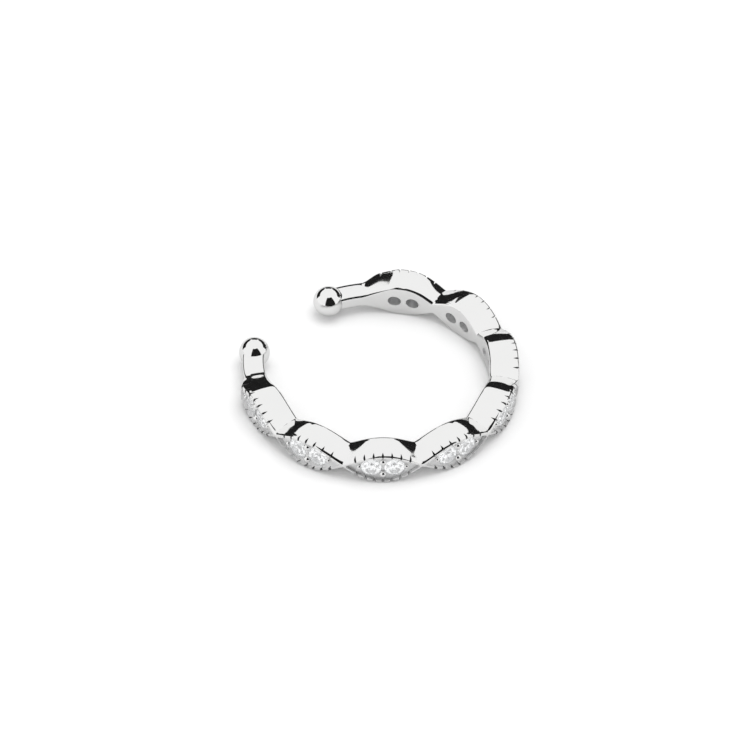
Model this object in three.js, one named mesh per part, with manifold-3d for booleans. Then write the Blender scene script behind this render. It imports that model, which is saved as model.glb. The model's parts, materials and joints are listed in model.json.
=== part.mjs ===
// Open ear cuff: eight leaf-shaped stone-set links in one casting, two plain arms and two ball ends.
// The ring lies flat: its axis is Z, its lowest faces rest on z = 0 and the mouth opens towards -X.
// Lengths are millimetres. Angles are radians, counted from +X towards +Y.
import * as THREE from 'three';
import { mergeVertices } from 'three/addons/utils/BufferGeometryUtils.js';
import Module from 'manifold-3d';

const wasm = await Module();
wasm.setup();

// Ring and links
const INNER_RADIUS = 5.0;
const LINK_WALL = 1.38;
const LINK_COUNT = 8;
const LINK_LENGTH = 2.915;
const LINK_HEIGHT = 1.68;
const NECK_HEIGHT = 0.67;
const TIP_HEIGHT = 0.2;
const NECK_LENGTH = 0.1;
const CROWN_FLAT_LENGTH = 0.1;
const EDGE_CHAMFER = 0.05;
const LEAF_FULLNESS = 1.15;

// Arms and ball ends
const ARM_LENGTH = 1.88;
const ARM_WALL = 1.04;
const ARM_END_HEIGHT = 0.66;
const ARM_CREST_HEIGHT = 0.44;
const FIRST_ARM_SPREAD = 0.5;
const BALL_DIAMETER = 1.42;

// Stones, their seats and the light holes behind them
const STONE_DIAMETER = 0.95;
const STONE_SPACING = 1.09;
const STONE_TABLE = 0.54;
const STONE_CROWN = 0.14;
const STONE_GIRDLE = 0.03;
const STONE_PAVILION = 0.38;
const TABLE_SINK = 0.02;
const SEAT_CLEARANCE = 0.02;
const LIGHT_HOLE_WIDTH = 0.62;
const LIGHT_HOLE_HEIGHT = 0.54;
const LIGHT_HOLE_THROAT = 0.36;

// Sunk leaf panel, its rim notches and the beads that hold the stones
const PANEL_DEPTH = 0.15;
const RIM_WIDTH = 0.16;
const NOTCHES_PER_EDGE = 7;
const NOTCH_SPACING = 0.43;
const NOTCH_WIDTH = 0.1;
const NOTCH_DEPTH = 0.13;
const SHARED_BEAD_DIAMETER = 0.36;
const SHARED_BEAD_HEIGHT = 0.74;
const TIP_BEAD_DIAMETER = 0.26;
const TIP_BEAD_OVERLAP = 0.04;

// Mesh fineness, and how far a cut runs past the skin that it opens
const BALL_SEGMENTS = 16;
const BALL_RINGS = 10;
const BEAD_SEGMENTS = 8;
const BEAD_RINGS = 4;
const STONE_SIDES = 16;
const HOLE_SIDES = 10;
const ARM_STEPS = 8;
const CUT_OVERSHOOT = 0.3;
const TANGENT_STEP = 0.01;

// Shoulder of a cross-section: its reach through the wall, its fall towards the outer edge,
// and the reach of that edge, all as shares
const LINK_SHOULDER = { reach: 0.5, fall: 0.5, edge: 1 };
const ARM_SHOULDER = { reach: 0.66, fall: 0.3, edge: 0.93 };

// Sections of one link, as shares of half its length from the middle to the neck
const LINK_SHARES = [0, 0.21, 0.42, 0.62, 0.82, 1];

// Sections of a sunk panel, as shares of half its length
const PANEL_SHARES = [-1, -0.82, -0.6, -0.34, 0, 0.34, 0.6, 0.82, 1];

const OUTER_RADIUS = INNER_RADIUS + LINK_WALL;
const MIDDLE_Z = LINK_HEIGHT / 2;
const HALF_PITCH = LINK_LENGTH / INNER_RADIUS / 2;
const LAST_LINK_ANGLE = (LINK_COUNT - 1) * HALF_PITCH;
const LAST_NECK_ANGLE = LINK_COUNT * HALF_PITCH;
const BALL_ANGLE = LAST_NECK_ANGLE + ARM_LENGTH / INNER_RADIUS;
const CROWN_FLAT = CROWN_FLAT_LENGTH / LINK_LENGTH;
const NECK_FLAT = NECK_LENGTH / LINK_LENGTH;
const GIRDLE_RADIUS = OUTER_RADIUS - TABLE_SINK - STONE_CROWN - STONE_GIRDLE / 2;

const SILVER = { color: 0xd9dadc, roughness: 0.08, metalness: 1.0 };
const CLEAR_STONE = { color: 0xf4f7fa, roughness: 0.02, metalness: 0.0 };

// A point at an angle round the ring, a radius and a height over the middle plane
function ringPoint(angle, radius, height) {
  return new THREE.Vector3(radius * Math.cos(angle), radius * Math.sin(angle), MIDDLE_Z + height);
}

// Position along a link: 0 on its middle, 1 on its neck
function shareOfLink(angle) {
  const centre = linkAngle(nearestLink(angle));
  return Math.min(Math.abs(angle - centre) / HALF_PITCH, 1);
}

function linkAngle(index) {
  return (2 * index - LINK_COUNT + 1) * HALF_PITCH;
}

function nearestLink(angle) {
  const index = Math.round((angle / HALF_PITCH + LINK_COUNT - 1) / 2);
  return THREE.MathUtils.clamp(index, 0, LINK_COUNT - 1);
}

// Leaf outline: full height over the flat crown, an arched fall and a short level neck
function leafHalfHeight(share, neckHeight) {
  const fall = (share - CROWN_FLAT) / (1 - CROWN_FLAT - NECK_FLAT);
  const arch = (1 - THREE.MathUtils.clamp(fall, 0, 1) ** 2) ** LEAF_FULLNESS;
  return (neckHeight + (LINK_HEIGHT - neckHeight) * arch) / 2;
}

// 0 on the end link, 1 on the arm, eased round the last neck
function armBlend(angle) {
  const start = LAST_NECK_ANGLE - HALF_PITCH / 4;
  const end = LAST_NECK_ANGLE + HALF_PITCH / 2;
  return THREE.MathUtils.smoothstep(Math.abs(angle), start, end);
}

// From the middle of the end link to the ball, 0 to 1
function shareOfTaper(angle) {
  const share = (Math.abs(angle) - LAST_LINK_ANGLE) / (BALL_ANGLE - LAST_LINK_ANGLE);
  return THREE.MathUtils.clamp(share, 0, 1);
}

// The inner face falls evenly from the end link to the ball, and follows the leaves elsewhere
function innerHalfHeight(angle) {
  const share = shareOfTaper(angle);
  if (share > 0) {
    return THREE.MathUtils.lerp(LINK_HEIGHT, ARM_END_HEIGHT, share) / 2;
  }
  return leafHalfHeight(shareOfLink(angle), NECK_HEIGHT);
}

// The arm on the -Y side is sprung outwards, growing towards its ball
function armSpread(angle) {
  return angle < 0 ? FIRST_ARM_SPREAD * shareOfTaper(angle) : 0;
}

// Half of a cross-section, from the inner face over the top to the outer crest
function upperSection(angle) {
  const blend = armBlend(angle);
  const inner = INNER_RADIUS + armSpread(angle);
  const wall = THREE.MathUtils.lerp(LINK_WALL, ARM_WALL, blend);
  const innerHalf = innerHalfHeight(angle);
  const leafHalf = leafHalfHeight(shareOfLink(angle), TIP_HEIGHT);
  const outerHalf = THREE.MathUtils.lerp(leafHalf, ARM_CREST_HEIGHT / 2, blend);
  const shoulder = (part) => THREE.MathUtils.lerp(LINK_SHOULDER[part], ARM_SHOULDER[part], blend);
  return [
    [inner, innerHalf - EDGE_CHAMFER],
    [inner + EDGE_CHAMFER, innerHalf],
    [inner + wall * shoulder('reach'), THREE.MathUtils.lerp(innerHalf, outerHalf, shoulder('fall'))],
    [inner + wall * shoulder('edge'), outerHalf],
    [inner + wall, 0],
  ];
}

function crossSection(angle) {
  const upper = upperSection(angle);
  const lower = upper.slice(0, -1).reverse().map(([radius, height]) => [radius, -height]);
  return [...upper, ...lower].map(([radius, height]) => ringPoint(angle, radius, height));
}

// Angles of the cross-sections from one ball to the other
function sectionAngles() {
  const angles = [];
  for (let index = 0; index < LINK_COUNT; index += 1) {
    for (const share of LINK_SHARES) {
      const eased = CROWN_FLAT + share * (1 - CROWN_FLAT - NECK_FLAT);
      angles.push(linkAngle(index) - eased * HALF_PITCH, linkAngle(index) + eased * HALF_PITCH);
    }
  }
  for (let step = 1; step <= ARM_STEPS; step += 1) {
    const angle = THREE.MathUtils.lerp(LAST_NECK_ANGLE, BALL_ANGLE, step / ARM_STEPS);
    angles.push(-angle, angle);
  }
  return angles.sort((first, second) => first - second);
}

// Closed skin through sections of equal point counts, with fanned ends
function loft(sections) {
  const count = sections[0].length;
  const points = sections.flat();
  const faces = [];
  for (let row = 0; row + 1 < sections.length; row += 1) {
    for (let column = 0; column < count; column += 1) {
      const next = (column + 1) % count;
      const a = row * count + column;
      const b = row * count + next;
      faces.push(a, b, a + count, b, b + count, a + count);
    }
  }
  for (const [row, flip] of [[0, true], [sections.length - 1, false]]) {
    const centre = new THREE.Vector3();
    sections[row].forEach((point) => centre.addScaledVector(point, 1 / count));
    points.push(centre);
    for (let column = 0; column < count; column += 1) {
      const a = row * count + column;
      const b = row * count + (column + 1) % count;
      faces.push(points.length - 1, ...(flip ? [b, a] : [a, b]));
    }
  }
  const geometry = new THREE.BufferGeometry().setFromPoints(points);
  geometry.setIndex(faces);
  return geometry;
}

// Joins and cuts work on closed meshes whose shared corners are merged
function solid(geometry) {
  const bare = geometry.clone();
  bare.deleteAttribute('normal');
  bare.deleteAttribute('uv');
  const merged = mergeVertices(bare, 1e-5);
  const vertProperties = new Float32Array(merged.attributes.position.array);
  const triVerts = new Uint32Array(merged.index.array);
  return new wasm.Manifold(new wasm.Mesh({ numProp: 3, vertProperties, triVerts }));
}

function geometryOf(body) {
  const mesh = body.getMesh();
  const geometry = new THREE.BufferGeometry();
  geometry.setAttribute('position', new THREE.BufferAttribute(new Float32Array(mesh.vertProperties), 3));
  geometry.setIndex(new THREE.BufferAttribute(new Uint32Array(mesh.triVerts), 1));
  geometry.computeVertexNormals();
  return geometry;
}

// A frame at a point of the outer face: X along the ring, Y outwards, Z down the sheet
function faceFrame(angle, radius, height) {
  const outwards = new THREE.Vector3(Math.cos(angle), Math.sin(angle), 0);
  const along = new THREE.Vector3(-Math.sin(angle), Math.cos(angle), 0);
  const across = new THREE.Vector3().crossVectors(along, outwards);
  const frame = new THREE.Matrix4().makeBasis(along, outwards, across);
  return frame.setPosition(ringPoint(angle, radius, height));
}

function linkCentres() {
  return Array.from({ length: LINK_COUNT }, (_, index) => linkAngle(index));
}

// Two stones a link, side by side along the ring
function stoneAngles(centre) {
  const offset = STONE_SPACING / OUTER_RADIUS / 2;
  return [centre - offset, centre + offset];
}

function band() {
  return solid(loft(sectionAngles().map(crossSection)));
}

function ballEnd(side) {
  const angle = side * BALL_ANGLE;
  const ball = new THREE.SphereGeometry(BALL_DIAMETER / 2, BALL_SEGMENTS, BALL_RINGS);
  const centre = ringPoint(angle, INNER_RADIUS + armSpread(angle) + ARM_WALL / 2, 0);
  ball.translate(centre.x, centre.y, centre.z);
  return solid(ball);
}

// The sunk panel keeps an even rim inside the leaf outline
function sunkPanel(centre) {
  const reach = HALF_PITCH - RIM_WIDTH / OUTER_RADIUS;
  const sections = PANEL_SHARES.map((share) => {
    const angle = centre + share * reach;
    const half = leafHalfHeight(Math.abs(share * reach) / HALF_PITCH, TIP_HEIGHT) - RIM_WIDTH;
    const floor = OUTER_RADIUS - PANEL_DEPTH;
    const above = OUTER_RADIUS + CUT_OVERSHOOT;
    return [[floor, -half], [floor, half], [above, half], [above, -half]]
      .map(([radius, height]) => ringPoint(angle, radius, height));
  });
  return solid(loft(sections));
}

// Beads raised from the panel: two between the stones and one towards each tip
function holdingBeads(centre) {
  const tipOffset = (STONE_SPACING + STONE_DIAMETER + TIP_BEAD_DIAMETER) / 2 - TIP_BEAD_OVERLAP;
  const places = [
    [0, SHARED_BEAD_HEIGHT / 2, SHARED_BEAD_DIAMETER],
    [0, -SHARED_BEAD_HEIGHT / 2, SHARED_BEAD_DIAMETER],
    [tipOffset, 0, TIP_BEAD_DIAMETER],
    [-tipOffset, 0, TIP_BEAD_DIAMETER],
  ];
  return places.map(([along, height, diameter]) => {
    const bead = new THREE.SphereGeometry(diameter / 2, BEAD_SEGMENTS, BEAD_RINGS);
    bead.applyMatrix4(faceFrame(centre + along / OUTER_RADIUS, OUTER_RADIUS - PANEL_DEPTH, height));
    return solid(bead);
  });
}

// Seat for one stone: the stone's own outline with clearance all round
function stoneSeat(angle) {
  const radius = STONE_DIAMETER / 2 + SEAT_CLEARANCE;
  const girdle = STONE_GIRDLE / 2 + SEAT_CLEARANCE;
  const culet = -STONE_GIRDLE / 2 - STONE_PAVILION - 2 * SEAT_CLEARANCE;
  const top = STONE_GIRDLE / 2 + STONE_CROWN + SEAT_CLEARANCE;
  const table = STONE_TABLE / 2 + 2 * SEAT_CLEARANCE;
  const profile = [[0, culet], [radius, -girdle], [radius, girdle], [table, top], [0, top]];
  const seat = new THREE.LatheGeometry(profile.map(([x, y]) => new THREE.Vector2(x, y)), STONE_SIDES);
  seat.applyMatrix4(faceFrame(angle, GIRDLE_RADIUS, 0));
  return solid(seat);
}

// Oval light hole from the inner face, narrowing to the seat
function lightHole(angle) {
  const start = INNER_RADIUS - CUT_OVERSHOOT;
  const end = GIRDLE_RADIUS - STONE_PAVILION / 2;
  const spread = (LIGHT_HOLE_WIDTH - LIGHT_HOLE_THROAT) * (end - start) / (end - INNER_RADIUS);
  const mouth = (LIGHT_HOLE_THROAT + spread) / 2;
  const hole = new THREE.CylinderGeometry(LIGHT_HOLE_THROAT / 2, mouth, end - start, HOLE_SIDES);
  hole.scale(1, 1, LIGHT_HOLE_HEIGHT / LIGHT_HOLE_WIDTH);
  hole.applyMatrix4(faceFrame(angle, (start + end) / 2, 0));
  return solid(hole);
}

// Notches filed across one edge of a leaf, square to its outline
function rimNotch(centre, along, side) {
  const angle = centre + along / OUTER_RADIUS;
  const edge = (at) => ringPoint(at, OUTER_RADIUS, side * leafHalfHeight(shareOfLink(at), TIP_HEIGHT));
  const tangent = edge(angle + TANGENT_STEP).sub(edge(angle - TANGENT_STEP)).normalize();
  const corner = new THREE.Vector3(Math.cos(angle), Math.sin(angle), side).normalize();
  corner.addScaledVector(tangent, -corner.dot(tangent)).normalize();
  const stroke = new THREE.Vector3().crossVectors(tangent, corner);
  const flare = 1 + CUT_OVERSHOOT / NOTCH_DEPTH;
  const outline = new THREE.Shape([
    new THREE.Vector2(0, -NOTCH_DEPTH),
    new THREE.Vector2(flare * NOTCH_WIDTH / 2, CUT_OVERSHOOT),
    new THREE.Vector2(-flare * NOTCH_WIDTH / 2, CUT_OVERSHOOT),
  ]);
  const reach = NOTCH_DEPTH + CUT_OVERSHOOT;
  const notch = new THREE.ExtrudeGeometry(outline, { depth: 2 * reach, bevelEnabled: false });
  notch.translate(0, 0, -reach);
  notch.applyMatrix4(new THREE.Matrix4().makeBasis(tangent, corner, stroke).setPosition(edge(angle)));
  return solid(notch);
}

function rimNotches(centre) {
  const notches = [];
  for (let index = 0; index < NOTCHES_PER_EDGE; index += 1) {
    const along = (index - (NOTCHES_PER_EDGE - 1) / 2) * NOTCH_SPACING;
    notches.push(rimNotch(centre, along, 1), rimNotch(centre, along, -1));
  }
  return notches;
}

function cuffFrame() {
  const centres = linkCentres();
  const stones = centres.flatMap(stoneAngles);
  let frame = band();
  centres.map(sunkPanel).forEach((cut) => { frame = frame.subtract(cut); });
  centres.flatMap(holdingBeads).forEach((bead) => { frame = frame.add(bead); });
  stones.map(stoneSeat).forEach((cut) => { frame = frame.subtract(cut); });
  stones.map(lightHole).forEach((cut) => { frame = frame.subtract(cut); });
  centres.flatMap(rimNotches).forEach((cut) => { frame = frame.subtract(cut); });
  return frame.add(ballEnd(-1)).add(ballEnd(1));
}

// Round cut stone: eight-sided table, kite and girdle facets, then a pointed pavilion
function stoneGeometry() {
  const ring = (radius, height, sides) => Array.from({ length: sides }, (_, index) => {
    const turn = 2 * Math.PI * index / sides;
    return new THREE.Vector3(radius * Math.cos(turn), height, radius * Math.sin(turn));
  });
  const girdle = STONE_GIRDLE / 2;
  const table = ring(STONE_TABLE / 2, girdle + STONE_CROWN, STONE_SIDES / 2);
  const upper = ring(STONE_DIAMETER / 2, girdle, STONE_SIDES);
  const lower = ring(STONE_DIAMETER / 2, -girdle, STONE_SIDES);
  const culet = new THREE.Vector3(0, -girdle - STONE_PAVILION, 0);
  const corners = [];
  const face = (...points) => corners.push(...points);
  for (let index = 0; index < STONE_SIDES / 2; index += 1) {
    const here = table[index];
    const next = table[(index + 1) % table.length];
    const [a, b, c] = [0, 1, 2].map((shift) => (2 * index + shift) % STONE_SIDES);
    face(here, upper[b], upper[a]);
    face(here, next, upper[b]);
    face(next, upper[c], upper[b]);
    if (index > 0) {
      face(table[0], next, here);
    }
  }
  for (let index = 0; index < STONE_SIDES; index += 1) {
    const next = (index + 1) % STONE_SIDES;
    face(upper[index], upper[next], lower[next]);
    face(upper[index], lower[next], lower[index]);
    face(lower[index], lower[next], culet);
  }
  return new THREE.BufferGeometry().setFromPoints(corners);
}

function namedMesh(name, geometry, finish) {
  const mesh = new THREE.Mesh(geometry, new THREE.MeshStandardMaterial(finish));
  mesh.name = name;
  return mesh;
}

function earCuff() {
  const cuff = new THREE.Group();
  cuff.add(namedMesh('cuff_frame', geometryOf(cuffFrame()), SILVER));
  linkCentres().forEach((centre, index) => {
    stoneAngles(centre).forEach((angle, place) => {
      const stone = namedMesh(`stone_${index + 1}${'ab'[place]}`, stoneGeometry(), CLEAR_STONE);
      stone.applyMatrix4(faceFrame(angle, GIRDLE_RADIUS, 0));
      cuff.add(stone);
    });
  });
  return cuff;
}

export default earCuff();
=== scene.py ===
"""Open ear cuff in polished silver with clear cut stones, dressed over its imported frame.

Lengths are metres. Z points up, the ring lies on the floor and its mouth opens towards -X.
Angles are radians, counted from +X towards +Y. A share runs from 0 to 1 along what it names.
"""

import json
import logging
import math
from contextlib import contextmanager
from dataclasses import dataclass
from enum import Enum
from typing import Callable, Iterator, Sequence

import bmesh
import bpy
from mathutils import Matrix, Vector

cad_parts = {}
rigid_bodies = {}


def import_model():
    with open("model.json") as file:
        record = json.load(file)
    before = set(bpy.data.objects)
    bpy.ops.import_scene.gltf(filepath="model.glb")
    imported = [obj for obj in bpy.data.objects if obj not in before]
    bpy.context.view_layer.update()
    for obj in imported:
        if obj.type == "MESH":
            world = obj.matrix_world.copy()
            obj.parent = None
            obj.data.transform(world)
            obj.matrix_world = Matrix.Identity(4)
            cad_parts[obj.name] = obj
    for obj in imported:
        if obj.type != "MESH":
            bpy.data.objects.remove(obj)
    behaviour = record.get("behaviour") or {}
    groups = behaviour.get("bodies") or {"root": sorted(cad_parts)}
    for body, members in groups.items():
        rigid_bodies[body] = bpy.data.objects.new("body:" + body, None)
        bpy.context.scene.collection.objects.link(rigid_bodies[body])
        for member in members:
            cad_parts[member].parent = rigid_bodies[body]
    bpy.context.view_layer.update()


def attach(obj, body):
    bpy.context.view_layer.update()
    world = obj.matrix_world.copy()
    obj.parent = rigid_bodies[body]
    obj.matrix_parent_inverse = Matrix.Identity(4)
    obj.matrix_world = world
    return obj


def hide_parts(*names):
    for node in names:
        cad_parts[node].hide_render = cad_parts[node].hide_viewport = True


Piece = bpy.types.Object
Finish = bpy.types.Material
LOG = logging.getLogger("ear_cuff")
MM = 0.001
# Lengths under these count as nothing: on links, on seams and ends, and on stones and edges.
LINK_NEAR = 1e-7
SEAM_NEAR = 1e-8
STONE_NEAR = 1e-9
# Cosine over which a face counts as square on to a plane.
SQUARE_ON = 0.99
CASTING_NODE = "cuff_frame"
BODY = "root"


class Element(Enum):
    """The parts of a mesh that an edit-mode step works on."""

    CORNER = 0
    EDGE = 1
    FACE = 2


class Slot(Enum):
    """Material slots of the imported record."""

    SILVER = "silver"
    STONE = "clear_stone"


@dataclass(frozen=True)
class RingSizes:
    """Driving sizes of the whole cuff, shared by every piece."""

    inner_radius: float = 5.0 * MM
    link_wall: float = 1.38 * MM
    link_count: int = 8
    link_length: float = 2.915 * MM
    link_height: float = 1.68 * MM
    inner_neck_height: float = 0.67 * MM
    outer_neck_height: float = 0.25 * MM
    leaf_fullness: float = 1.2
    link_belly: float = 1.7
    arm_belly: float = 2.6
    arm_length: float = 1.88 * MM
    arm_wall: float = 1.04 * MM
    arm_end_height: float = 0.66 * MM
    arm_crest_height: float = 0.52 * MM
    shoulder_start: float = 0.1
    shoulder_length: float = 0.5
    shoulder_softness: float = 0.2
    shoulder_lead: float = 0.035
    neck_doming: float = 0.085 * MM
    first_arm_spread: float = 0.5 * MM
    ball_diameter: float = 1.42 * MM
    stone_diameter: float = 0.95 * MM
    stone_spacing: float = 1.09 * MM
    table_sink: float = 0.02 * MM
    stone_crown: float = 0.14 * MM
    stone_girdle: float = 0.03 * MM
    stone_pavilion: float = 0.38 * MM

    @property
    def outer_radius(self) -> float:
        """Radius of the outer face of a link."""
        return self.inner_radius + self.link_wall

    @property
    def middle_z(self) -> float:
        """Height of the middle plane over the floor."""
        return self.link_height / 2

    @property
    def half_pitch(self) -> float:
        """Half of the angle that one link takes."""
        return self.link_length / self.inner_radius / 2

    @property
    def last_link_angle(self) -> float:
        """Angle of the middle of an end link."""
        return (self.link_count - 1) * self.half_pitch

    @property
    def last_neck_angle(self) -> float:
        """Angle where an end link meets its arm."""
        return self.link_count * self.half_pitch

    @property
    def ball_angle(self) -> float:
        """Angle of the middle of a ball end."""
        return self.last_neck_angle + self.arm_length / self.inner_radius

    @property
    def girdle_radius(self) -> float:
        """Radius of the girdle plane of the stones at their axes."""
        return self.outer_radius - self.table_sink - self.stone_crown - self.stone_girdle / 2

    def link_angles(self) -> list[float]:
        """Angles of the middles of all links, from the -Y side on."""
        places = range(1 - self.link_count, self.link_count, 2)
        return [place * self.half_pitch for place in places]

    def stone_angles(self, centre: float) -> tuple[float, float]:
        """Angles of the two stones of a link whose middle is at centre."""
        offset = self.stone_spacing / self.outer_radius / 2
        return centre - offset, centre + offset

    def leaf(self, angle: float, neck_height: float) -> float:
        """Half height of a leaf outline.

        Args:
            angle: Angle from the link's middle.
            neck_height: Full height of the outline on the neck.

        Returns:
            Half of the height there.
        """
        share = min(abs(angle) / self.half_pitch, 1.0)
        arch = max(1.0 - share * share, 0.0) ** self.leaf_fullness
        return (neck_height + (self.link_height - neck_height) * arch) / 2

    def outer_leaf(self, angle: float) -> float:
        """Half height of the outer edge of a link at an angle from its middle."""
        return self.leaf(angle, self.outer_neck_height)

    def arm_taper(self, angle: float) -> float:
        """Share of the way from the middle of the end link to the ball."""
        share = (abs(angle) - self.last_link_angle) / (self.ball_angle - self.last_link_angle)
        return min(max(share, 0.0), 1.0)

    def arm_spread(self, angle: float) -> float:
        """How far the sprung arm on the -Y side stands outwards at an angle."""
        return self.first_arm_spread * self.arm_taper(angle) if angle < 0 else 0.0

    def arm_blend(self, angle: float) -> float:
        """0 on an end link, 1 on its arm, eased over the neck between them."""
        return self.eased((abs(angle) - self.last_neck_angle) / (self.half_pitch / 2) + 0.5)

    @staticmethod
    def eased(share: float) -> float:
        """A share held within 0 and 1, with soft ends."""
        share = min(max(share, 0.0), 1.0)
        return share * share * (3 - 2 * share)

    def ramped(self, share: float) -> float:
        """Share held within 0 and 1, rising evenly between two soft ends.

        Args:
            share: The plain share, which may lie outside.

        Returns:
            The share on the ramp.
        """
        share = min(max(share, 0.0), 1.0)
        soft = self.shoulder_softness
        slope = 1 / (1 - soft)
        if share > 0.5:
            return 1 - self.ramped(1 - share)
        if share < soft:
            return slope * share * share / (2 * soft)
        return slope * (share - soft / 2)

    def wall(self, angle: float) -> float:
        """Wall thickness at an angle from the cuff's middle."""
        return self.link_wall + (self.arm_wall - self.link_wall) * self.arm_blend(angle)

    def link_half_height(self, angle: float, share: float) -> float:
        """Half height of a plain link.

        Args:
            angle: Angle from the link's middle.
            share: 0 on the inner face, 1 on the outer face.

        Returns:
            Half of the height there.
        """
        inner = self.leaf(angle, self.inner_neck_height)
        dome = self.neck_doming * min(abs(angle) / self.half_pitch, 1.0) ** 2
        belly = (self.outer_leaf(angle) - inner) * share**self.link_belly
        return inner + belly + dome * 4 * share * (1 - share)

    def end_half_height(self, angle: float, share: float) -> float:
        """Half height of the cuff from the middle of an end link to its ball.

        Args:
            angle: Angle from the cuff's middle, past the last link's.
            share: 0 on the inner face, 1 on the outer face.

        Returns:
            Half of the height there.
        """
        along = self.arm_taper(angle) - self.shoulder_start
        inner_fall = self.ramped(along / self.shoulder_length)
        outer_fall = self.ramped((along + self.shoulder_lead) / self.shoulder_length)
        inner = self.link_height + (self.arm_end_height - self.link_height) * inner_fall
        outer = self.link_height + (self.arm_crest_height - self.link_height) * outer_fall
        return (inner + (outer - inner) * share**self.arm_belly) / 2

    def stand_out(self, piece: Piece, angle: float, radius: float, height: float = 0.0) -> None:
        """Turns a piece built along Z to point outwards from the ring.

        Args:
            piece: The piece; its X runs along the ring.
            angle: Angle round the ring.
            radius: Radius that its origin comes to.
            height: Height that its origin comes to, over the middle plane.
        """
        outwards = ring_turn(angle) @ Vector((1, 0, 0))
        along = ring_turn(angle) @ Vector((0, 1, 0))
        frame = Matrix((along, outwards.cross(along), outwards)).transposed().to_4x4()
        frame.translation = self.point(angle, radius, height)
        piece.data.transform(frame)

    def point(self, angle: float, radius: float, height: float = 0.0) -> Vector:
        """A point at an angle round the ring, a radius and a height over the middle plane."""
        return Vector((radius * math.cos(angle), radius * math.sin(angle), self.middle_z + height))


def clear() -> None:
    """Leaves nothing selected."""
    for piece in bpy.context.view_layer.objects:
        piece.select_set(False)


def take(*pieces: Piece) -> None:
    """Selects some pieces alone, the first as the active one.

    Args:
        pieces: What is selected.
    """
    clear()
    for piece in pieces:
        piece.select_set(True)
    bpy.context.view_layer.objects.active = pieces[0]


def primitive(
    name: str, add: Callable[..., object], scale: Sequence[float] = (1, 1, 1), **settings: object
) -> Piece:
    """Adds a primitive and moves its place into its mesh.

    Args:
        name: The piece's name.
        add: The operator that adds it.
        scale: Its scale before it is turned.
        settings: The operator's settings.

    Returns:
        The piece, at the origin, unturned and unscaled.
    """
    clear()
    add(**settings)
    piece = bpy.context.object
    piece.name = name
    piece.scale = scale
    take(piece)
    bpy.ops.object.transform_apply(location=True, rotation=True, scale=True)
    return piece


def section(name: str, radii: tuple[float, float], heights: tuple[float, float]) -> Piece:
    """Adds an upright rectangle at angle 0.

    Args:
        name: The piece's name.
        radii: Its inner and outer radius.
        heights: Its lower and upper edge.

    Returns:
        The rectangle.
    """
    return primitive(
        name,
        bpy.ops.mesh.primitive_plane_add,
        (radii[1] - radii[0], heights[1] - heights[0], 1),
        size=1,
        location=(sum(radii) / 2, 0, sum(heights) / 2),
        rotation=(math.pi / 2, 0, 0),
    )


@contextmanager
def editing(piece: Piece) -> Iterator[None]:
    """Holds one piece in edit mode.

    Args:
        piece: The piece to edit.

    Yields:
        Nothing; the piece is in edit mode meanwhile.
    """
    take(piece)
    bpy.ops.object.mode_set(mode="EDIT")
    try:
        yield
    finally:
        bpy.ops.object.mode_set(mode="OBJECT")


def pick(
    piece: Piece,
    element: Element,
    test: Callable[[Vector], bool],
    facing: Callable[[Vector], bool] | None = None,
) -> None:
    """Selects parts of a piece in edit mode by their place, and faces also by their normal.

    Args:
        piece: The piece, in edit mode.
        element: What to select.
        test: Takes the part's middle and says whether it is wanted.
        facing: Takes a face's normal and says whether it is wanted.
    """
    bpy.context.tool_settings.mesh_select_mode = [element is each for each in Element]
    mesh = bmesh.from_edit_mesh(piece.data)
    groups = (mesh.verts, mesh.edges, mesh.faces)
    for part in (part for group in groups for part in group):
        part.select = False
    chosen = []
    for part in groups[element.value]:
        corners = [part] if element is Element.CORNER else part.verts
        middle = sum((corner.co for corner in corners), Vector()) / len(corners)
        if test(middle) and (facing is None or facing(part.normal)):
            chosen.append(part)
    for part in chosen:
        part.select_set(True)
    mesh.select_flush_mode()
    bmesh.update_edit_mesh(piece.data)


def all_of(piece: Piece) -> None:
    """Selects the whole piece in edit mode."""
    pick(piece, Element.CORNER, lambda place: True)


def tidy_skin(piece: Piece, nearness: float = LINK_NEAR) -> None:
    """Merges doubled corners and turns the faces outwards.

    Args:
        piece: A closed piece.
        nearness: Corners nearer than this become one.
    """
    with editing(piece):
        all_of(piece)
        bpy.ops.mesh.remove_doubles(threshold=nearness)
        all_of(piece)
        bpy.ops.mesh.normals_make_consistent(inside=False)


def copy(piece: Piece, name: str, turn: Matrix) -> Piece:
    """Copies a piece with a mesh of its own.

    Args:
        piece: What is copied.
        name: The copy's name.
        turn: Moves the copy's mesh.

    Returns:
        The copy.
    """
    take(piece)
    bpy.ops.object.duplicate(linked=False)
    copy = bpy.context.object
    copy.name = name
    copy.data.transform(turn)
    copy.data.update()
    return copy


def join(pieces: Sequence[Piece], name: str) -> Piece:
    """Joins pieces into the first of them.

    Args:
        pieces: What is joined.
        name: The joined piece's name.

    Returns:
        The joined piece.
    """
    take(*pieces)
    bpy.ops.object.join()
    piece = bpy.context.object
    piece.name = name
    return piece


def apply(piece: Piece, kind: str, **settings: object) -> None:
    """Adds a modifier and applies it.

    Args:
        piece: The piece that it shapes.
        kind: The modifier's type.
        settings: Its settings by name.
    """
    modifier = piece.modifiers.new(kind.title(), kind)
    for name, value in settings.items():
        setattr(modifier, name, value)
    take(piece)
    bpy.ops.object.modifier_apply(modifier=modifier.name)


def across_ring(angle: float) -> Vector:
    """Normal of the upright plane through the ring's axis at an angle."""
    return Vector((-math.sin(angle), math.cos(angle), 0))


def close_end(piece: Piece, angle: float) -> None:
    """Fills the open end of a piece.

    Args:
        piece: The open piece.
        angle: Angle of the upright plane through the ring's axis on which the end lies.
    """
    normal = across_ring(angle)
    with editing(piece):
        pick(piece, Element.CORNER, lambda at: abs(at.dot(normal)) < SEAM_NEAR)
        bpy.ops.mesh.edge_face_add()


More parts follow.
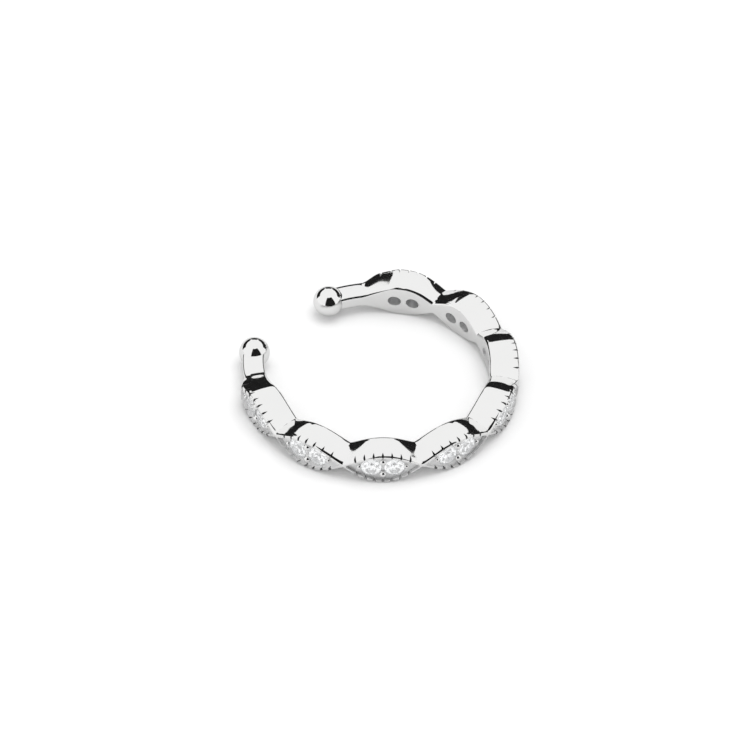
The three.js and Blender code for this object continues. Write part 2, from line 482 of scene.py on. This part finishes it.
def open_end(piece: Piece, angle: float) -> None:
    """Takes a flat end face off, so that neighbours join as one skin.

    Args:
        piece: The closed piece.
        angle: Angle of the upright plane through the ring's axis on which the face lies.
    """
    normal = across_ring(angle)
    with editing(piece):
        pick(
            piece,
            Element.FACE,
            lambda at: abs(at.dot(normal)) < LINK_NEAR,
            lambda facing: abs(facing.dot(normal)) > SQUARE_ON,
        )
        bpy.ops.mesh.delete(type="FACE")


def mirror(piece: Piece, both_ways: bool, middle_z: float) -> None:
    """Mirrors a piece in its middle plane.

    Args:
        piece: The upper half, or the upper quarter on the +Y side.
        both_ways: Whether it is mirrored to the -Y side as well.
        middle_z: Height of the middle plane.
    """
    piece.data.transform(Matrix.Translation((0, 0, -middle_z)))
    apply(piece, "MIRROR", use_axis=(False, both_ways, True), merge_threshold=SEAM_NEAR)
    piece.data.transform(Matrix.Translation((0, 0, middle_z)))


def combine(piece: Piece, other: Piece, operation: str) -> None:
    """Adds another piece to a piece or takes it out, and removes the other."""
    apply(piece, "BOOLEAN", object=other, operation=operation, solver="MANIFOLD")
    bpy.data.objects.remove(other)


def ring_turn(angle: float) -> Matrix:
    """A turn round the ring's axis."""
    return Matrix.Rotation(angle, 4, "Z")


class Line:
    """A shader socket whose arithmetic adds Math nodes."""

    def __init__(self, paint: "Paint", socket: bpy.types.NodeSocket) -> None:
        """Wraps an output socket of a finish."""
        self.paint = paint
        self.socket = socket

    def _maths(self, operation: str, *values: "Line | float") -> "Line":
        """One Math node on these values."""
        return self.paint.node("ShaderNodeMath", {"operation": operation}, dict(enumerate(values)))

    def __add__(self, other: "Line | float") -> "Line":
        """Sum."""
        return self._maths("ADD", self, other)

    def __mul__(self, other: "Line | float") -> "Line":
        """Product."""
        return self._maths("MULTIPLY", self, other)


class Paint:
    """Node tree of one finish."""

    def __init__(self, name: str) -> None:
        """Starts an empty node tree.

        Args:
            name: The finish's name.
        """
        self.material = bpy.data.materials.new(name)
        self.material.use_nodes = True
        self.tree = self.material.node_tree
        self.tree.nodes.clear()

    def node(
        self,
        kind: str,
        settings: dict[str, object],
        inputs: dict[str | int, object],
        output: int | str = 0,
    ) -> Line:
        """Adds one node.

        Args:
            kind: The node's type.
            settings: Its settings, set first.
            inputs: Values or lines for its sockets, by name or place.
            output: The socket that is returned.

        Returns:
            The node's output socket, wrapped.
        """
        node = self.tree.nodes.new(kind)
        for name, value in settings.items():
            setattr(node, name, value)
        for key, value in inputs.items():
            if isinstance(value, Line):
                self.tree.links.new(value.socket, node.inputs[key])
            else:
                node.inputs[key].default_value = value
        return Line(self, node.outputs[output]) if node.outputs else Line(self, None)

    def place(self) -> Line:
        """Object coordinates."""
        return self.node("ShaderNodeTexCoord", {}, {}, "Object")

    def noise(self, size: float, detail: float = 3.0, stretch: Sequence[float] = (1, 1, 1)) -> Line:
        """Cloudy pattern.

        Args:
            size: Width of its patches in metres.
            detail: Octaves of finer pattern.
            stretch: Scale of the pattern along each axis.

        Returns:
            A value around one half.
        """
        mapped = self.node("ShaderNodeMapping", {}, {"Vector": self.place(), "Scale": stretch})
        inputs = {"Vector": mapped, "Scale": 1 / size, "Detail": detail}
        return self.node("ShaderNodeTexNoise", {}, inputs)

    def mix(self, share: Line | float, first: Sequence[float], second: Sequence[float]) -> Line:
        """Blend of two colours, the first where share is 0 and the second where it is 1."""
        colours = {0: share, 6: (*first, 1.0), 7: (*second, 1.0)}
        return self.node("ShaderNodeMix", {"data_type": "RGBA"}, colours, 2)

    def bump(self, height: Line, strength: float, distance: float) -> Line:
        """Normal turned by a share, strength, of a height pattern as deep as distance."""
        inputs = {"Height": height, "Strength": strength, "Distance": distance}
        return self.node("ShaderNodeBump", {}, inputs)

    def finish(self, shader: str, inputs: dict[str | int, object]) -> Finish:
        """Ends the tree with a shader.

        Args:
            shader: The kind of its node.
            inputs: Values or lines for its sockets.

        Returns:
            The material.
        """
        surface = self.node(shader, {}, inputs)
        self.node("ShaderNodeOutputMaterial", {"target": "ALL"}, {"Surface": surface})
        return self.material


@dataclass(frozen=True)
class PolishedSilver:
    """Mirror-polished silver with faint handling marks and hazy patches."""

    bright: tuple[float, float, float] = (0.975, 0.975, 0.97)
    dull: tuple[float, float, float] = (0.94, 0.94, 0.935)
    roughness: float = 0.045
    haze: float = 0.05
    patch: float = 1.4 * MM
    scratch: float = 0.05 * MM
    scratch_detail: float = 2.0
    scratch_stretch: tuple[float, float, float] = (1.0, 0.12, 1.0)
    scratch_depth: float = 0.0006 * MM
    scratch_strength: float = 0.3
    scratch_haze: float = 0.02

    def material(self) -> Finish:
        """Builds the finish.

        Returns:
            The material.
        """
        paint = Paint("polished_silver")
        cloud = paint.noise(self.patch)
        marks = paint.noise(self.scratch, self.scratch_detail, self.scratch_stretch)
        base = self.roughness - self.haze / 2
        return paint.finish(
            "ShaderNodeBsdfPrincipled",
            {
                "Base Color": paint.mix(cloud, self.dull, self.bright),
                "Metallic": 1.0,
                "Roughness": cloud * self.haze + marks * self.scratch_haze + base,
                "Normal": paint.bump(marks, self.scratch_strength, self.scratch_depth),
            },
        )


@dataclass(frozen=True)
class GrooveSilver:
    """Grained silver left as cut. Its default dark greys are painted shade for the depths of the
    rim notches.
    """

    # Dark greys: painted shade in the notches of the rim.
    bright: tuple[float, float, float] = (0.4, 0.4, 0.4)
    dull: tuple[float, float, float] = (0.12, 0.12, 0.12)
    roughness: float = 0.22
    grain: float = 0.06 * MM
    grain_detail: float = 4.0
    grain_depth: float = 0.004 * MM
    grain_strength: float = 0.4
    grain_haze: float = 0.2
    name: str = "groove_silver"

    def material(self) -> Finish:
        """Builds the finish.

        Returns:
            The material.
        """
        paint = Paint(self.name)
        speckle = paint.noise(self.grain, self.grain_detail)
        return paint.finish(
            "ShaderNodeBsdfPrincipled",
            {
                "Base Color": paint.mix(speckle, self.dull, self.bright),
                "Metallic": 1.0,
                "Roughness": speckle * self.grain_haze + self.roughness,
                "Normal": paint.bump(speckle, self.grain_strength, self.grain_depth),
            },
        )


# The panels, seats and holes are brighter than the grooves, and rougher.
SEAT_SILVER = GrooveSilver((0.98,) * 3, (0.88,) * 3, 0.4, name="seat_silver")


@dataclass(frozen=True)
class CastFinishes:
    """The casting's materials, in the order of its material slots."""

    polished: Finish
    grooved: Finish
    seated: Finish


@dataclass(frozen=True)
class ClearStone:
    """Clear cut stone with a breath of polish marks on its facets, and a faint even glow of painted
    sparkle.
    """

    tint: tuple[float, float, float] = (0.99, 0.995, 1.0)
    shade: tuple[float, float, float] = (0.95, 0.96, 0.97)
    refraction: float = 2.3
    patch: float = 0.2 * MM
    haze: float = 0.01
    painted_glow: float = 0.07

    def material(self) -> Finish:
        """Builds the finish.

        Returns:
            The material.
        """
        paint = Paint("clear_stone")
        cloud = paint.noise(self.patch)
        colour = paint.mix(cloud, self.shade, self.tint)
        return paint.finish(
            "ShaderNodeBsdfPrincipled",
            {
                "Base Color": colour,
                "Roughness": cloud * self.haze,
                "IOR": self.refraction,
                "Transmission Weight": 1.0,
                # Painted light: an even glow that brightens the stones like sparkle, though they
                # are no lamp.
                "Emission Color": colour,
                "Emission Strength": self.painted_glow,
            },
        )


@dataclass
class Link:
    """One leaf-shaped link with its sunk panel, seats, light holes, rim notches and beads."""

    sizes: RingSizes
    finishes: CastFinishes
    end: int = 0
    steps: int = 30
    strips: int = 8
    side_strips: int = 4
    rounding_steps: int = 5
    inner_rounding: float = 0.16 * MM
    outer_rounding: float = 0.12 * MM
    panel_depth: float = 0.15 * MM
    rim_width: float = 0.16 * MM
    panel_tip: float = 0.012 * MM
    panel_steps: int = 24
    seat_clearance: float = 0.02 * MM
    seat_mouth: float = 0.93
    seat_sides: int = 48
    hole_sides: int = 40
    hole_width: float = 0.62 * MM
    hole_height: float = 0.54 * MM
    hole_throat: float = 0.36 * MM
    notch_count: int = 7
    notch_spacing: float = 0.43 * MM
    notch_widths: tuple[float, float] = (0.13 * MM, 0.25 * MM)
    notch_depths: tuple[float, float] = (0.19 * MM, 0.22 * MM)
    slope_step: float = 0.01
    bead_sides: int = 20
    bead_rings: int = 12
    bead_diameter: float = 0.36 * MM
    bead_height: float = 0.74 * MM
    tip_bead_diameter: float = 0.26 * MM
    tip_bead_overlap: float = 0.04 * MM
    overshoot: float = 0.3 * MM

    def quarter(self) -> Piece:
        """Upper skin of half a link: an open section with rounded edges, spun to the neck.

        Returns:
            The open skin.
        """
        ring = self.sizes
        top = ring.link_height
        radii = (ring.inner_radius, ring.outer_radius)
        piece = section("link_quarter", radii, (ring.middle_z, top))
        with editing(piece):
            for radius, rounding in zip(radii, (self.inner_rounding, self.outer_rounding)):
                edge = Vector((radius, 0, top))
                pick(piece, Element.CORNER, lambda at: (at - edge).length < LINK_NEAR)
                segments = self.rounding_steps
                bpy.ops.mesh.bevel(offset=rounding, segments=segments, affect="VERTICES")
            pick(piece, Element.EDGE, lambda at: at.z < ring.middle_z + LINK_NEAR)
            bpy.ops.mesh.delete(type="EDGE")
            pick(piece, Element.EDGE, lambda at: at.z > top - LINK_NEAR)
            bpy.ops.mesh.subdivide(number_cuts=self.strips - 1)
            pick(piece, Element.EDGE, lambda at: at.z < top - 2 * self.inner_rounding)
            bpy.ops.mesh.subdivide(number_cuts=self.side_strips - 1)
            all_of(piece)
            bpy.ops.mesh.spin(
                steps=self.steps, angle=-ring.half_pitch, center=(0, 0, 0), axis=(0, 0, 1)
            )
        return piece

    def rigid_reach(self, height: float, half: float, share: float) -> float:
        """Share of a move of the top edge that a corner follows: all on the edge's rounding."""
        rounding = self.inner_rounding + (self.outer_rounding - self.inner_rounding) * share
        return min(abs(height) / max(half - rounding, STONE_NEAR), 1.0)

    def wall_share(self, at: Vector) -> float:
        """Share of a plain link's wall that a place has behind it."""
        radius = math.hypot(at.x, at.y)
        return min(max((radius - self.sizes.inner_radius) / self.sizes.link_wall, 0.0), 1.0)

    def shape_leaf(self, piece: Piece) -> None:
        """Draws each section down to the leaf outline.

        Args:
            piece: The quarter, of full height all along.
        """
        ring = self.sizes
        full = ring.link_height / 2
        for corner in piece.data.vertices:
            angle = math.atan2(corner.co.y, corner.co.x)
            share = self.wall_share(corner.co)
            drop = full - ring.link_half_height(angle, share)
            corner.co.z -= drop * self.rigid_reach(corner.co.z - ring.middle_z, full, share)

    def block(self) -> Piece:
        """Whole link without its cuts.

        Returns:
            A closed block with flat ends on the neck planes.
        """
        ring = self.sizes
        piece = self.quarter()
        self.shape_leaf(piece)
        mirror(piece, True, ring.middle_z)
        for side in (-1, 1):
            close_end(piece, side * ring.half_pitch)
        tidy_skin(piece)
        piece.name = "link"
        if self.end:
            piece.data.transform(ring_turn(self.end * ring.last_link_angle))
            for corner in piece.data.vertices:
                self.draw_to_arm(corner)
        return piece

    def draw_to_arm(self, corner: bpy.types.MeshVertex) -> None:
        """Moves a corner of an end link towards its arm's section, past the link's middle.

        Args:
            corner: A corner of the end link, in place.
        """
        ring = self.sizes
        angle = math.atan2(corner.co.y, corner.co.x)
        if abs(angle) <= ring.last_link_angle:
            return
        share = self.wall_share(corner.co)
        plain = ring.link_half_height(abs(angle) - ring.last_link_angle, share)
        height = corner.co.z - ring.middle_z
        rise = ring.end_half_height(abs(angle), share) - plain
        rise *= self.rigid_reach(height, plain, share)
        radius = ring.inner_radius + share * ring.wall(angle) + ring.arm_spread(angle)
        corner.co = ring.point(angle, radius, height + math.copysign(rise, height))

    def follow(self, cutter: Piece) -> Piece:
        """Takes a cutter built at angle 0 to an end link, and outwards with its sprung arm.

        Args:
            cutter: The cutter or addition.

        Returns:
            The same, in place.
        """
        if self.end:
            cutter.data.transform(ring_turn(self.end * self.sizes.last_link_angle))
            for corner in cutter.data.vertices:
                angle = math.atan2(corner.co.y, corner.co.x)
                radius = math.hypot(corner.co.x, corner.co.y) + self.sizes.arm_spread(angle)
                height = corner.co.z - self.sizes.middle_z
                corner.co = self.sizes.point(angle, radius, height)
        return cutter

    def panel_cutter(self) -> Piece:
        """Leaf-shaped block that sinks the panel and keeps an even rim.

        Returns:
            The cutter.
        """
        ring = self.sizes
        reach = ring.half_pitch - self.rim_width / ring.outer_radius
        floor = ring.outer_radius - self.panel_depth
        radii = (floor, floor + self.overshoot)
        piece = section("panel_cutter", radii, (0, ring.link_height))
        piece.data.transform(ring_turn(-reach))
        with editing(piece):
            all_of(piece)
            bpy.ops.mesh.spin(
                steps=2 * self.panel_steps, angle=-2 * reach, center=(0, 0, 0), axis=(0, 0, 1)
            )
        for corner in piece.data.vertices:
            angle = math.atan2(corner.co.y, corner.co.x)
            half = max(ring.outer_leaf(angle) - self.rim_width, self.panel_tip)
            corner.co.z = ring.middle_z + math.copysign(half, corner.co.z - ring.middle_z)
        tidy_skin(piece)
        return piece

    def seat_cutter(self, angle: float) -> Piece:
        """Conical seat of one stone with clearance all round.

        Args:
            angle: Angle of the stone's axis.

        Returns:
            The cutter.
        """
        ring = self.sizes
        radius = ring.stone_diameter / 2 + self.seat_clearance
        depth = ring.stone_pavilion + 2 * self.seat_clearance
        mouth = ring.stone_crown + ring.table_sink + self.seat_clearance
        piece = primitive(
            "seat_cutter",
            bpy.ops.mesh.primitive_cone_add,
            vertices=self.seat_sides,
            radius1=0,
            radius2=radius,
            depth=depth,
            location=(0, 0, -depth / 2),
        )
        with editing(piece):
            pick(piece, Element.FACE, lambda at: at.z > -LINK_NEAR)
            for rise in (ring.stone_girdle, mouth):
                bpy.ops.mesh.extrude_region_move(TRANSFORM_OT_translate={"value": (0, 0, rise)})
            bpy.ops.transform.resize(value=(self.seat_mouth, self.seat_mouth, 1))
        ring.stand_out(piece, angle, ring.girdle_radius - ring.stone_girdle / 2)
        return piece

    def hole_cutter(self, angle: float) -> Piece:
        """Oval light hole from the inner face to the seat.

        Args:
            angle: Angle of the stone's axis.

        Returns:
            The cutter.
        """
        ring = self.sizes
        start = ring.inner_radius - self.overshoot
        end = ring.girdle_radius - ring.stone_pavilion / 2
        spread = (self.hole_width - self.hole_throat) * (end - start) / (end - ring.inner_radius)
        piece = primitive(
            "hole_cutter",
            bpy.ops.mesh.primitive_cone_add,
            (1, self.hole_height / self.hole_width, 1),
            vertices=self.hole_sides,
            radius1=(self.hole_throat + spread) / 2,
            radius2=self.hole_throat / 2,
            depth=end - start,
            location=(0, 0, (end - start) / 2),
        )
        ring.stand_out(piece, angle, start)
        return piece

    def notch_cutter(self, along: float, side: int) -> Piece:
        """Three-sided groove filed across the rim, square to the leaf outline.

        Args:
            along: Place along the outer face from the middle of the link.
            side: 1 for the upper edge, -1 for the lower one.

        Returns:
            The cutter.
        """
        ring = self.sizes
        angle = along / ring.outer_radius

        def edge(at: float) -> Vector:
            """Point of the outer edge at an angle."""
            return ring.point(at, ring.outer_radius, side * ring.outer_leaf(at))

        tangent = (edge(angle + self.slope_step) - edge(angle - self.slope_step)).normalized()
        corner = Vector((math.cos(angle), math.sin(angle), side)).normalized()
        corner = (corner - tangent * corner.dot(tangent)).normalized()
        stroke = tangent.cross(corner)
        row = 0 if side > 0 else 1
        width, depth = self.notch_widths[row], self.notch_depths[row]
        flare = 1 + self.overshoot / depth
        reach = depth + self.overshoot
        prism = bpy.ops.mesh.primitive_cylinder_add
        piece = primitive("notch_cutter", prism, vertices=3, radius=1, depth=2)
        for each in piece.data.vertices:
            tip = each.co.y > 0
            aside = 0.0 if tip else math.copysign(flare * width / 2, each.co.x)
            height = -depth if tip else self.overshoot
            across = stroke * each.co.z * reach
            each.co = tangent * aside + corner * height + across + edge(angle)
        tidy_skin(piece)
        return piece

    def beads(self) -> Piece:
        """Two beads between the stones and one towards each tip, raised from the panel.

        Returns:
            The four beads as one piece.
        """
        ring = self.sizes
        floor = ring.outer_radius - self.panel_depth
        tip = (ring.stone_spacing + ring.stone_diameter + self.tip_bead_diameter) / 2
        tip -= self.tip_bead_overlap
        rise = self.bead_height / 2
        places = [(0.0, side * rise, self.bead_diameter) for side in (1, -1)]
        places += [(side * tip, 0.0, self.tip_bead_diameter) for side in (1, -1)]
        beads = []
        for along, height, diameter in places:
            bead = primitive(
                "bead",
                bpy.ops.mesh.primitive_uv_sphere_add,
                segments=self.bead_sides,
                ring_count=self.bead_rings,
                radius=diameter / 2,
            )
            ring.stand_out(bead, along / ring.outer_radius, floor, height)
            beads.append(bead)
        return join(beads, "beads")

    def notches(self) -> Piece:
        """All rim grooves of the link.

        Returns:
            The grooves as one cutter.
        """
        middle = (self.notch_count - 1) / 2
        grooves = [
            self.notch_cutter((index - middle) * self.notch_spacing, side)
            for index in range(self.notch_count)
            for side in (1, -1)
        ]
        return join(grooves, "rim_notches")

    def build(self) -> Piece:
        """Models the finished link, a plain one at angle 0 and an end link in place.

        Returns:
            The link, open at both necks.
        """
        piece = self.block()
        dress = self.finishes
        for finish in (dress.polished, dress.grooved, dress.seated):
            piece.data.materials.append(finish)
        panel = self.follow(self.panel_cutter())
        panel.data.materials.append(dress.seated)
        combine(piece, panel, "DIFFERENCE")
        beads = self.follow(self.beads())
        beads.data.materials.append(dress.polished)
        combine(piece, beads, "UNION")
        angles = self.sizes.stone_angles(0.0)
        seats = [self.seat_cutter(angle) for angle in angles]
        holes = [self.hole_cutter(angle) for angle in angles]
        cuts = (
            (join(seats, "seats"), dress.seated),
            (join(holes, "holes"), dress.seated),
            (self.notches(), dress.grooved),
        )
        for cutter, finish in cuts:
            cutter.data.materials.append(finish)
            combine(piece, self.follow(cutter), "DIFFERENCE")
        middle = self.end * self.sizes.last_link_angle
        for side in (-1, 1):
            open_end(piece, middle + side * self.sizes.half_pitch)
        return piece


@dataclass
class Casting:
    """The one silver casting: eight links, two arms and two balls."""

    sizes: RingSizes
    finishes: CastFinishes
    neck_join: float = 0.0005 * MM
    crease: float = math.radians(32)
    ball_sides: int = 64
    ball_rings: int = 32

    def build(self) -> Piece:
        """Models the whole casting.

        Returns:
            The casting, dressed.
        """
        ring = self.sizes
        plain, first, last = (Link(ring, self.finishes, end) for end in (0, -1, 1))
        master = plain.build()
        parts = [
            copy(master, f"link_{index}", ring_turn(angle))
            for index, angle in enumerate(ring.link_angles()[1:-1])
        ]
        bpy.data.objects.remove(master)
        parts += [first.build(), last.build(), self.arm(first), self.arm(last)]
        piece = join(parts, "cuff_casting")
        tidy_skin(piece, self.neck_join)
        take(piece)
        bpy.ops.object.shade_smooth_by_angle(angle=self.crease)
        return piece

    def arm(self, link: Link) -> Piece:
        """Arm from an end link's neck to the middle of its ball.

        Args:
            link: The end link, which gives the section that the arm starts from.

        Returns:
            The arm with its ball, open at the neck.
        """
        ring = self.sizes
        side = link.end
        quarter = link.quarter()
        full = ring.link_height / 2
        span = ring.ball_angle - ring.last_neck_angle
        for corner in quarter.data.vertices:
            along = math.atan2(corner.co.y, corner.co.x) / ring.half_pitch
            angle = ring.last_neck_angle + along * span
            share = link.wall_share(corner.co)
            height = corner.co.z - ring.middle_z
            drop = full - ring.end_half_height(angle, share)
            height -= drop * link.rigid_reach(height, full, share)
            radius = ring.inner_radius + share * ring.wall(angle) + ring.arm_spread(side * angle)
            corner.co = ring.point(side * angle, radius, height)
        mirror(quarter, False, ring.middle_z)
        for end in (ring.ball_angle, ring.last_neck_angle):
            close_end(quarter, side * end)
        quarter.data.materials.append(self.finishes.polished)
        quarter.name = f"arm_{side}"
        tidy_skin(quarter)
        combine(quarter, self.ball(side), "UNION")
        open_end(quarter, side * ring.last_neck_angle)
        return quarter

    def ball(self, side: int) -> Piece:
        """Ball end.

        Args:
            side: -1 for the ball on the -Y side, 1 for the other.

        Returns:
            The ball.
        """
        ring = self.sizes
        angle = side * ring.ball_angle
        radius = ring.inner_radius + ring.arm_spread(angle) + ring.arm_wall / 2
        piece = primitive(
            "ball",
            bpy.ops.mesh.primitive_uv_sphere_add,
            segments=self.ball_sides,
            ring_count=self.ball_rings,
            radius=ring.ball_diameter / 2,
            location=ring.point(angle, radius),
        )
        piece.data.materials.append(self.finishes.polished)
        return piece


@dataclass
class CutStone:
    """Round clear stone with a table, 32 crown facets and 24 pavilion facets."""

    sizes: RingSizes
    table: float = 0.54 * MM
    sides: int = 64
    fold: int = 8
    upper_steepness: float = 1.22
    lower_steepness: float = 1.045
    star_steepness: float = 0.55
    culet: float = 0.012 * MM

    def facets(self) -> list[tuple[Vector, Vector]]:
        """Planes of all facets but the table and the culet.

        Returns:
            A point and an outward normal for each facet.
        """
        ring = self.sizes
        radius = ring.stone_diameter / 2
        girdle = ring.stone_girdle / 2
        corner = self.table / 2 * math.cos(math.pi / self.fold)
        crown = math.atan2(ring.stone_crown, radius - corner)
        depth = math.atan2(ring.stone_pavilion, radius)
        rows = [
            (crown, self.fold, 0.0, radius, girdle),
            (crown * self.upper_steepness, 2 * self.fold, 0.5, radius, girdle),
            (-depth, self.fold, 0.0, radius, -girdle),
            (-depth * self.lower_steepness, 2 * self.fold, 0.5, radius, -girdle),
            (crown * self.star_steepness, self.fold, 0.5, corner, girdle + ring.stone_crown),
        ]
        planes = []
        for slope, count, shift, reach, height in rows:
            for index in range(count):
                turn = 2 * math.pi * (index + shift) / count
                out = Vector((math.cos(turn), math.sin(turn), 0))
                upwards = Vector((0, 0, math.copysign(math.cos(slope), slope)))
                facing = out * abs(math.sin(slope)) + upwards
                planes.append((out * reach + Vector((0, 0, height)), facing))
        return planes

    def build(self) -> Piece:
        """Cuts one stone at the origin, its table up.

        Returns:
            The stone.
        """
        ring = self.sizes
        top = ring.stone_girdle / 2 + ring.stone_crown
        bottom = -ring.stone_girdle / 2 - ring.stone_pavilion
        piece = primitive(
            "cut_stone",
            bpy.ops.mesh.primitive_cylinder_add,
            vertices=self.sides,
            radius=ring.stone_diameter / 2,
            depth=top - bottom,
            location=(0, 0, (top + bottom) / 2),
        )
        culet = (Vector((0, 0, bottom + self.culet)), Vector((0, 0, -1)))
        with editing(piece):
            for at, facing in (*self.facets(), culet):
                all_of(piece)
                bpy.ops.mesh.bisect(
                    plane_co=at,
                    plane_no=facing,
                    use_fill=True,
                    clear_outer=True,
                    threshold=STONE_NEAR,
                )
        tidy_skin(piece, STONE_NEAR)
        return piece

    def set_all(self, finish: Finish) -> list[Piece]:
        """Places a copy in each seat and dresses it.

        Args:
            finish: The stones' finish.

        Returns:
            The stones.
        """
        ring = self.sizes
        master = self.build()
        stones = []
        for index, centre in enumerate(ring.link_angles()):
            for letter, angle in zip("ab", ring.stone_angles(centre)):
                node = f"stone_{index + 1}{letter}"
                stone = copy(master, f"cut_{node}", Matrix.Identity(4))
                ring.stand_out(stone, angle, ring.girdle_radius + ring.arm_spread(angle))
                stone.data.materials.append(finish)
                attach(stone, BODY)
                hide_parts(node)
                stones.append(stone)
        bpy.data.objects.remove(master)
        return stones


@dataclass
class Studio:
    """Pale floor, soft light, dark cards seen only in reflections, and the camera."""

    sizes: RingSizes
    floor_width: float = 3.0
    floor_tone: float = 0.93
    floor_mottle: float = 0.995
    floor_grain: float = 2.0 * MM
    floor_grain_detail: float = 4.0
    floor_roughness: float = 0.6
    shade_floor_tone: float = 0.7
    shade_floor_height: float = 0.004 * MM
    azimuth: float = math.radians(39.06)
    elevation: float = math.radians(43.2)
    distance: float = 0.384
    lens: float = 400.0
    pixel: float = 0.04608 * MM
    centre_pixel: tuple[float, float] = (380.8, 374.08)
    frame_width: int = 750
    backdrop_radius: float = 0.8
    back_top: float = math.radians(28)
    back_dip: float = math.radians(19)
    back_edges: tuple[float, ...] = tuple(map(math.radians, (-75, -20, -11, 11, 21, 75)))
    front_top: float = math.radians(67)
    front_span: tuple[float, float] = (math.radians(-25), math.radians(52))
    card_sides: int = 180
    card_lift: float = 1.0 * MM
    card_weave: float = 4.0 * MM
    card_tones: tuple[float, float] = (0.01, 0.016)
    room_strength: float = 0.9
    box_place: tuple[float, float, float] = (0.1, 0.1, 0.9)
    box_size: float = 0.7
    box_energy: float = 3.0
    sensor: float = 36.0
    clip: tuple[float, float] = (0.01, 20.0)

    def floor(self) -> None:
        """Plain pale floor, and a greyer one that only reflections see, which paints shade into the
        floor's reflections.
        """
        plain = self.sheet("studio_floor", 0.0, self.floor_tone)
        self.hide_from(plain, "glossy", "transmission")
        # Painted shade: the floor that reflections see is a greyer sheet than the one the camera
        # sees.
        height = self.shade_floor_height
        seen = self.sheet("reflected_shade_floor", height, self.shade_floor_tone)
        self.hide_from(seen, "camera", "diffuse", "shadow")

    @staticmethod
    def hide_from(piece: Piece, *rays: str) -> None:
        """Hides a piece from rays of these kinds."""
        for kind in rays:
            setattr(piece, f"visible_{kind}", False)

    def sheet(self, name: str, height: float, tone: float) -> Piece:
        """Sheet of floor paper.

        Args:
            name: The sheet's name.
            height: Its height.
            tone: Its grey.

        Returns:
            The sheet.
        """
        add = bpy.ops.mesh.primitive_plane_add
        piece = primitive(name, add, size=self.floor_width, location=(0, 0, height))
        paint = Paint(f"{name}_paper")
        grain = paint.noise(self.floor_grain, self.floor_grain_detail)
        colour = paint.mix(grain, (tone * self.floor_mottle,) * 3, (tone,) * 3)
        inputs = {"Color": colour, "Roughness": self.floor_roughness}
        piece.data.materials.append(paint.finish("ShaderNodeBsdfDiffuse", inputs))
        return piece

    def dark_card(self, name: str, top: float, span: tuple[float, float], middle: float) -> Piece:
        """Dark curved card that stands on the floor and shows only in reflections.

        Args:
            name: The card's name.
            top: Elevation of its upper edge, seen from the cuff.
            span: Its ends, as turns to the left and right of its middle seen from the cuff.
            middle: Azimuth of its middle, measured as the camera's.

        Returns:
            The card.
        """
        height = self.backdrop_radius * math.tan(top)
        piece = primitive(
            name,
            bpy.ops.mesh.primitive_cylinder_add,
            vertices=self.card_sides,
            radius=self.backdrop_radius,
            depth=height,
            end_fill_type="NOTHING",
            location=(0, 0, height / 2 + self.card_lift),
        )

        def outside(at: Vector) -> bool:
            """Tells whether a place is past the card's ends."""
            turn = (math.atan2(at.x, -at.y) - middle + math.pi) % (2 * math.pi) - math.pi
            return not span[0] <= turn <= span[1]

        with editing(piece):
            pick(piece, Element.FACE, outside)
            bpy.ops.mesh.delete(type="FACE")
        paint = Paint(f"{name}_cloth")
        weave = paint.noise(self.card_weave)
        darker, lighter = ((tone,) * 3 for tone in self.card_tones)
        inputs = {"Color": paint.mix(weave, darker, lighter)}
        piece.data.materials.append(paint.finish("ShaderNodeBsdfDiffuse", inputs))
        self.hide_from(piece, "camera", "diffuse", "transmission", "shadow")
        return piece

    def light(self) -> None:
        """Pale room light and one large soft box overhead."""
        world = bpy.data.worlds.new("studio_room")
        world.use_nodes = True
        room = world.node_tree.nodes["Background"].inputs
        room["Color"].default_value = (1.0, 1.0, 1.0, 1.0)
        room["Strength"].default_value = self.room_strength
        bpy.context.scene.world = world
        bpy.ops.object.light_add(type="AREA", location=self.box_place)
        box = bpy.context.object
        box.name = "soft_box"
        box.data.shape = "DISK"
        box.data.size = self.box_size
        box.data.energy = self.box_energy
        box.visible_glossy = False

    def camera(self) -> None:
        """Camera at the photograph's angle and framing."""
        back_out = Vector((math.sin(self.azimuth), -math.cos(self.azimuth), 0))
        to_camera = back_out * math.cos(self.elevation) + Vector((0, 0, math.sin(self.elevation)))
        right = Vector((math.cos(self.azimuth), math.sin(self.azimuth), 0))
        up = to_camera.cross(right)
        aside = self.centre_pixel[0] - self.frame_width / 2
        above = self.frame_width / 2 - self.centre_pixel[1]
        aim = Vector((0, 0, self.sizes.middle_z)) - (right * aside + up * above) * self.pixel
        bpy.ops.object.camera_add(location=aim + to_camera * self.distance)
        camera = bpy.context.object
        camera.rotation_euler = Matrix((right, up, to_camera)).transposed().to_euler()
        camera.data.lens = self.lens
        camera.data.sensor_width = self.sensor
        camera.data.clip_start, camera.data.clip_end = self.clip
        bpy.context.scene.camera = camera

    def build(self) -> None:
        """Sets up the whole studio."""
        self.floor()
        for index, span in enumerate(zip(self.back_edges, self.back_edges[1:])):
            top = self.back_dip if index % 2 else self.back_top
            self.dark_card(f"back_card_{index}", top, span, self.azimuth + math.pi)
        self.dark_card("front_card", self.front_top, self.front_span, self.azimuth)
        self.light()
        self.camera()
        bpy.context.scene.view_settings.view_transform = "Standard"
        LOG.info("studio ready")


def main() -> None:
    """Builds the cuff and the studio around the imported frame."""
    logging.basicConfig(level=logging.INFO, format="%(name)s: %(message)s")
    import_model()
    sizes = RingSizes()
    silvers = (PolishedSilver(), GrooveSilver(), SEAT_SILVER)
    finishes = CastFinishes(*(silver.material() for silver in silvers))
    casting = Casting(sizes, finishes).build()
    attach(casting, BODY)
    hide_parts(CASTING_NODE)
    LOG.info("casting: %d faces", len(casting.data.polygons))
    stones = CutStone(sizes).set_all(ClearStone().material())
    LOG.info("stones: %d, each %d faces", len(stones), len(stones[0].data.polygons))
    Studio(sizes).build()


if __name__ == "__main__":
    main()
